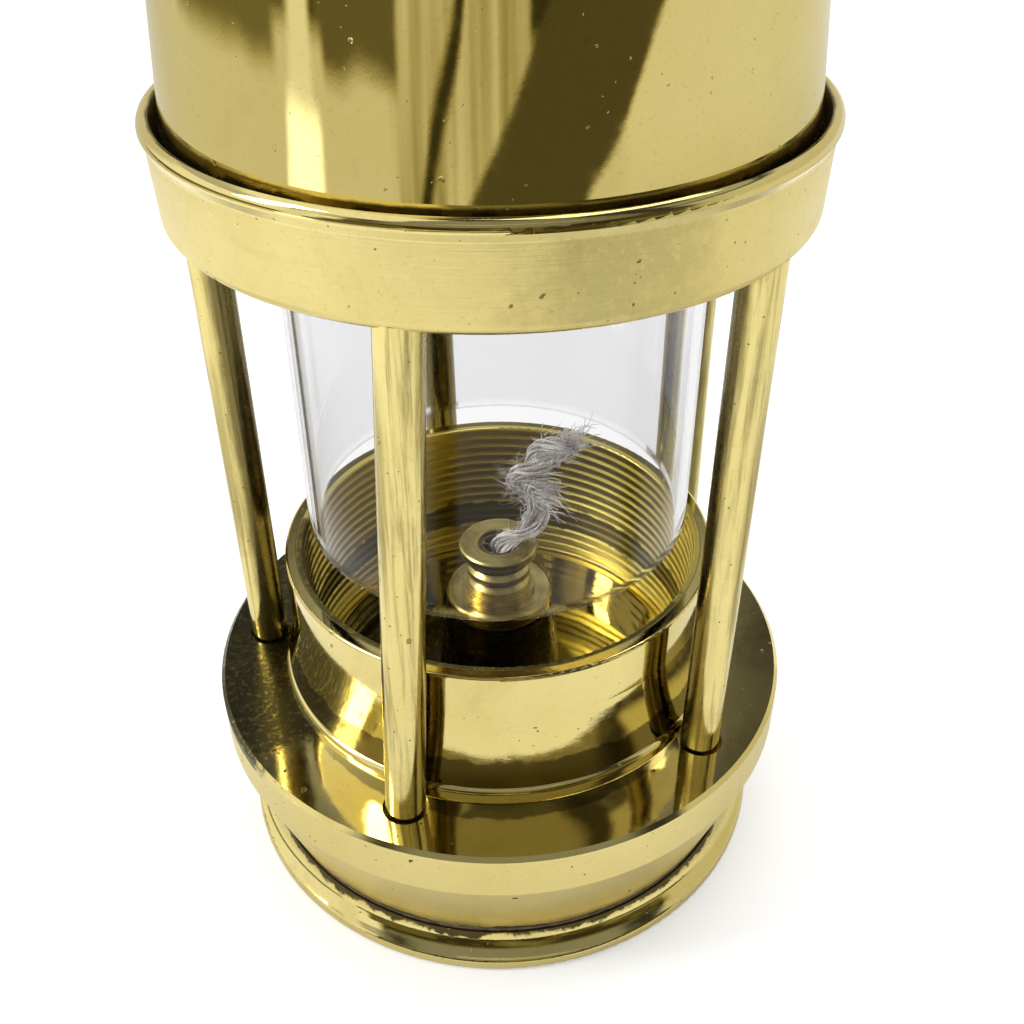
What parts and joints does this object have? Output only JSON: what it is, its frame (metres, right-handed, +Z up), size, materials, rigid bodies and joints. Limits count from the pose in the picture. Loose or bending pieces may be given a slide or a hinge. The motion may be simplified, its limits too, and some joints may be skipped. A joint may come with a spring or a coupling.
{
  "type": "ship lantern",
  "caption": "Brass ship lantern with a screw-on round font, a wick burner, a glass cylinder caged by pillars, a tapered vented bonnet and a swivelling hanging eye.",
  "frame": {"origin": "centre of the foot's underside, on the surface that the lantern stands on", "axes": "+Z up along the lantern's axis to the hanging eye; -Y is the side with the leaning front pillar; +X is to the right seen from that side"},
  "size_m": [0.0754, 0.0754, 0.18],
  "materials": {
    "polished_brass": "polished, slightly tarnished and pitted",
    "satin_brass": "satin, turned round the axis",
    "lamp_glass": "clear, lightly hazed",
    "cotton": "twisted cotton, greyed",
    "cork": "cork sheet",
    "fibre": "dark pressed fibre"
  },
  "bodies": {
    "font": {"font_shell": "polished_brass", "font_base_plate": "polished_brass", "font_top_plate": "polished_brass", "burner_boss": "polished_brass"},
    "burner_seal": {"burner_washer": "fibre"},
    "burner": {"burner_plug": "polished_brass", "burner_sleeve": "polished_brass", "burner_tip": "polished_brass", "wick_tube": "polished_brass", "wick": "cotton"},
    "font_seal": {"font_gasket": "fibre"},
    "frame": {"base_ring": "satin_brass", "collar_cup": "polished_brass", "collar_bead": "polished_brass", "collar_lock_ring": "polished_brass", "pillar_1": "polished_brass", "pillar_2": "polished_brass", "pillar_3": "polished_brass", "pillar_4": "polished_brass", "pillar_5": "polished_brass", "pillar_nuts": "polished_brass", "gallery_ring": "satin_brass", "glass": "lamp_glass", "glass_sleeve": "cork", "glass_pad": "fibre", "glass_holder": "polished_brass", "holder_screws": "polished_brass"},
    "bonnet_seal": {"bonnet_pad": "fibre"},
    "bonnet": {"bonnet_shell": "polished_brass", "bonnet_collar": "polished_brass", "crown": "polished_brass", "crown_screws": "polished_brass", "eye_socket": "polished_brass"},
    "eye": {"hanging_eye": "polished_brass", "eye_nut": "polished_brass"}
  },
  "joints": [
    {"name": "frame_lift", "type": "slide", "parent": "font", "child": "font_seal", "axis": [0, 0, 1], "range_m": [0, 0.00706]},
    {"name": "frame_turn", "type": "hinge", "parent": "font_seal", "child": "frame", "pos_m": [0, 0, 0.0245], "axis": [0, 0, 1], "range_deg": [0, 1800]},
    {"name": "burner_lift", "type": "slide", "parent": "font", "child": "burner_seal", "axis": [0, 0, 1], "range_m": [0, 0.00587]},
    {"name": "burner_turn", "type": "hinge", "parent": "burner_seal", "child": "burner", "pos_m": [0, 0, 0.031], "axis": [0, 0, 1], "range_deg": [0, 2160]},
    {"name": "bonnet_lift", "type": "slide", "parent": "frame", "child": "bonnet_seal", "axis": [0, 0, 1], "range_m": [0, 0.00424]},
    {"name": "bonnet_turn", "type": "hinge", "parent": "bonnet_seal", "child": "bonnet", "pos_m": [0, 0, 0.0976], "axis": [0, 0, 1], "range_deg": [0, 1080]},
    {"name": "eye_swivel", "type": "hinge", "parent": "bonnet", "child": "eye", "pos_m": [0, 0, 0.153], "axis": [0, 0, 1], "range_deg": [-180, 180]}
  ],
  "couplings": [
    {"joint": "frame_lift", "follows": "frame_turn", "m_per_rad": 0.00022441},
    {"joint": "burner_lift", "follows": "burner_turn", "m_per_rad": 0.00015549},
    {"joint": "bonnet_lift", "follows": "bonnet_turn", "m_per_rad": 0.00022441}
  ]
}
